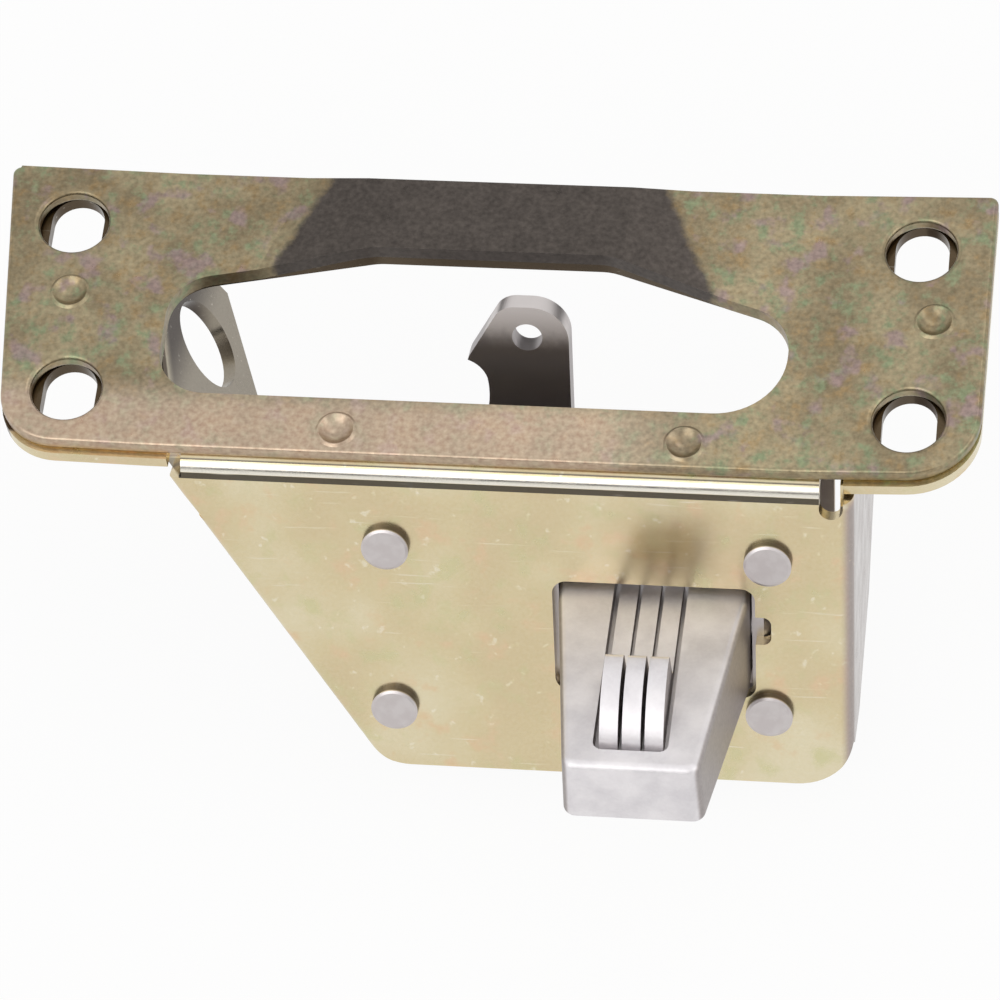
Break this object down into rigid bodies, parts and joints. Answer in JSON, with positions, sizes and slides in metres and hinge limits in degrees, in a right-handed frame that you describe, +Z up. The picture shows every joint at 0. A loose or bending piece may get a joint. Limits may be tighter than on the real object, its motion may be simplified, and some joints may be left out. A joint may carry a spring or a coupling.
{
  "type": "hood latch",
  "caption": "Hood latch: bolted flange with a striker opening, folded bracket, spring-loaded safety hook and a cast release lever on a pin.",
  "frame": {"origin": "midway between the two rear mounting holes, 2 mm above the seam of plate and bracket, at a height that all four hole walls reach", "axes": "+X along the fold, to the lever's side, +Y to the rear over the flange, +Z up out of the flange"},
  "size_m": [0.1718, 0.1066, 0.0721],
  "materials": {
    "yellow_zinc_steel": "zinc plated and yellow passivated, with faint green and pink interference colours",
    "bright_zinc_steel": "bright zinc plated",
    "dark_steel": "oiled bare steel, darkened",
    "die_cast_metal": "as cast, satin grey, slightly mottled",
    "spring_steel": "drawn wire"
  },
  "bodies": {
    "frame": {"mounting_plate": "yellow_zinc_steel", "latch_bracket": "yellow_zinc_steel", "lever_carrier": "bright_zinc_steel", "back_plate": "bright_zinc_steel", "rivet_top_left": "bright_zinc_steel", "rivet_top_right": "bright_zinc_steel", "rivet_bottom_right": "bright_zinc_steel", "rivet_hook_pivot": "bright_zinc_steel", "spacer_top_left": "bright_zinc_steel", "spacer_top_right": "bright_zinc_steel", "spacer_bottom_right": "bright_zinc_steel", "hook_pivot_sleeve": "bright_zinc_steel", "hook_washer_front": "bright_zinc_steel", "hook_washer_rear": "bright_zinc_steel", "lever_pin": "bright_zinc_steel", "lever_pin_clip": "bright_zinc_steel", "lever_return_spring": "spring_steel", "hook_return_spring": "spring_steel"},
    "lever": {"lever": "die_cast_metal"},
    "hook": {"latch_hook": "dark_steel"}
  },
  "joints": [
    {"name": "lever_lift", "type": "hinge", "parent": "frame", "child": "lever", "pos_m": [0.031, -0.05359, -0.03354], "axis": [-1, 0, 0], "range_deg": [0, 14], "stiffness_Nm_per_rad": 0.12, "springref_deg": -34.38, "deforming": ["lever_return_spring"]},
    {"name": "hook_turn", "type": "hinge", "parent": "frame", "child": "hook", "pos_m": [-0.0145, -0.04446, -0.05655], "axis": [0, 0.9063, -0.4226], "range_deg": [0, 8.4], "stiffness_Nm_per_rad": 0.3, "springref_deg": -34.38, "deforming": ["hook_return_spring"]}
  ],
  "couplings": [
    {"joint": "hook_turn", "follows": "lever_lift", "ratio": 0.6}
  ]
}
